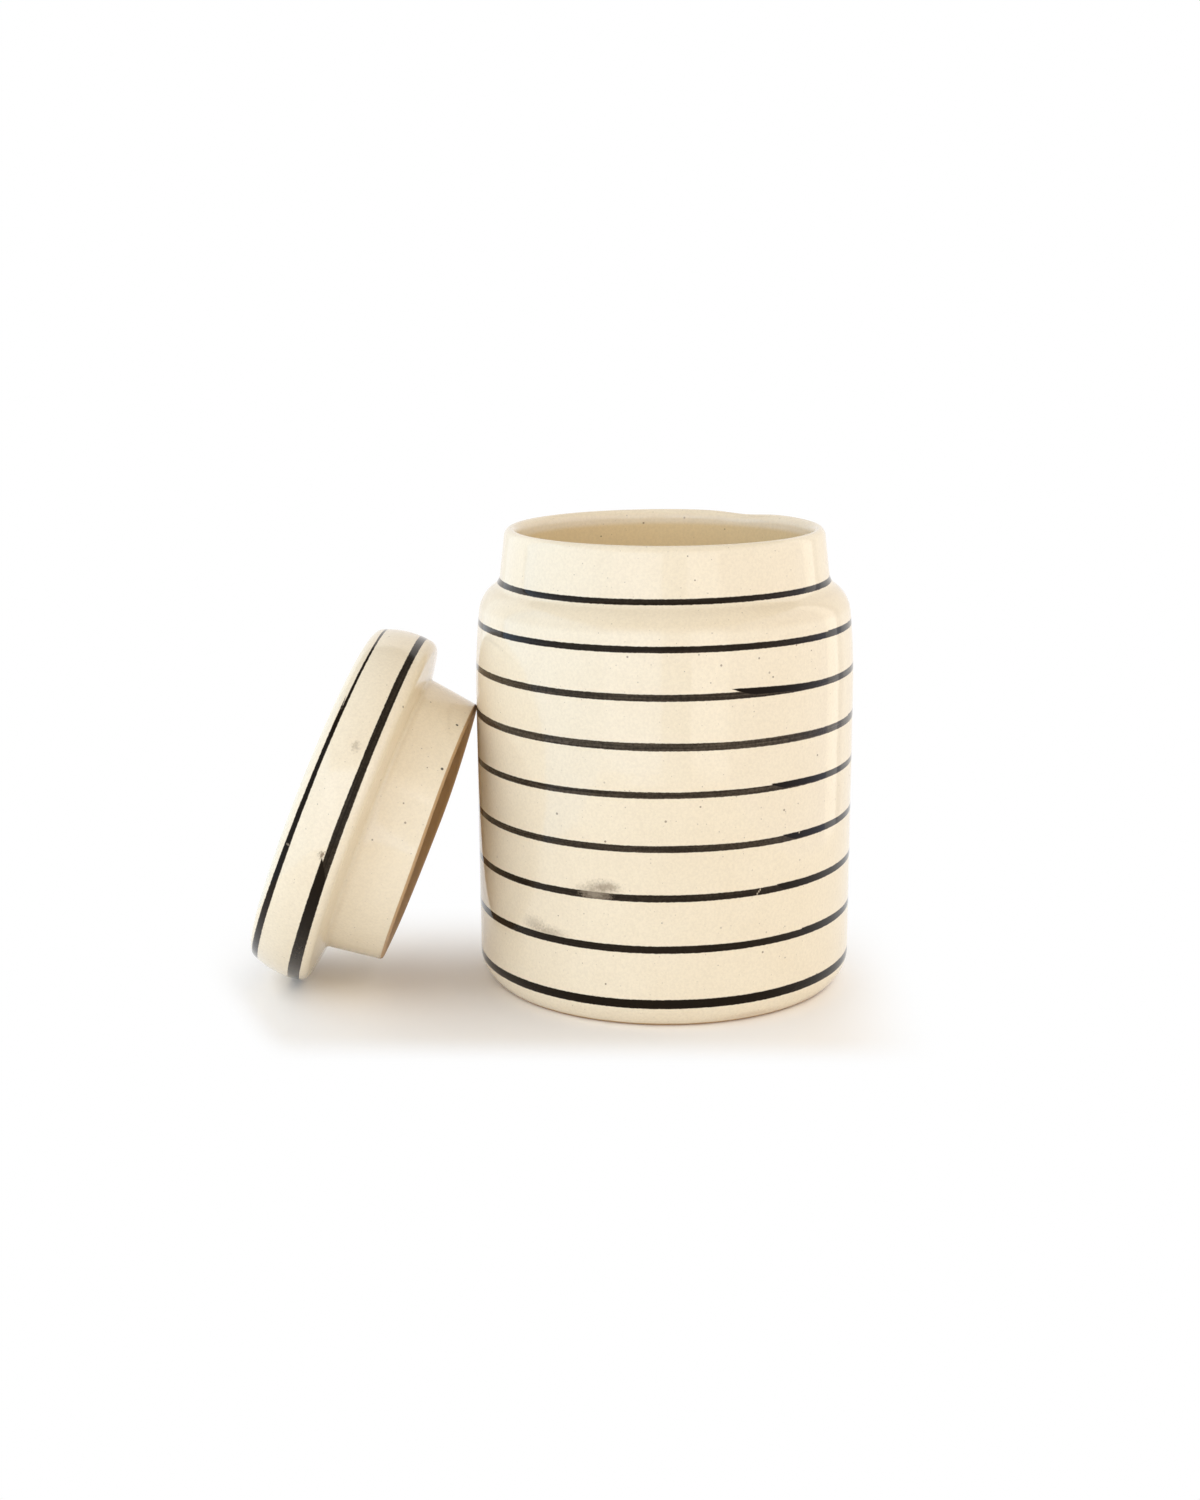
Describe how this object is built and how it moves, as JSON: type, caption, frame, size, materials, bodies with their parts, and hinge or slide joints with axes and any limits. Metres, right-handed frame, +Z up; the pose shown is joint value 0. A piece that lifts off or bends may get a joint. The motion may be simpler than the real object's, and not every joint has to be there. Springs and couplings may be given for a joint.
{
  "type": "clay storage jar",
  "caption": "Wheel-thrown clay storage jar with straight sides, a short neck and a drop-in lid that leans against its side, glazed cream with thin dark painted hoops.",
  "frame": {"origin": "centre of the jar's flat foot, on the table", "axes": "+Z up along the jar's axis, -X towards the leaning lid, -Y towards the viewer"},
  "size_m": [0.1676, 0.1092, 0.1266],
  "materials": {
    "jar_glaze": "glossy cream glaze with dark painted hoops",
    "lid_glaze": "glossy cream glaze with dark painted hoops"
  },
  "bodies": {
    "jar": {"jar_body": "jar_glaze"},
    "lid": {"lid": "lid_glaze"}
  },
  "joints": [
    {"name": "lid_lift", "type": "slide", "parent": "jar", "child": "lid", "axis": [0, 0, 1], "range_m": [0, 0.15]}
  ]
}
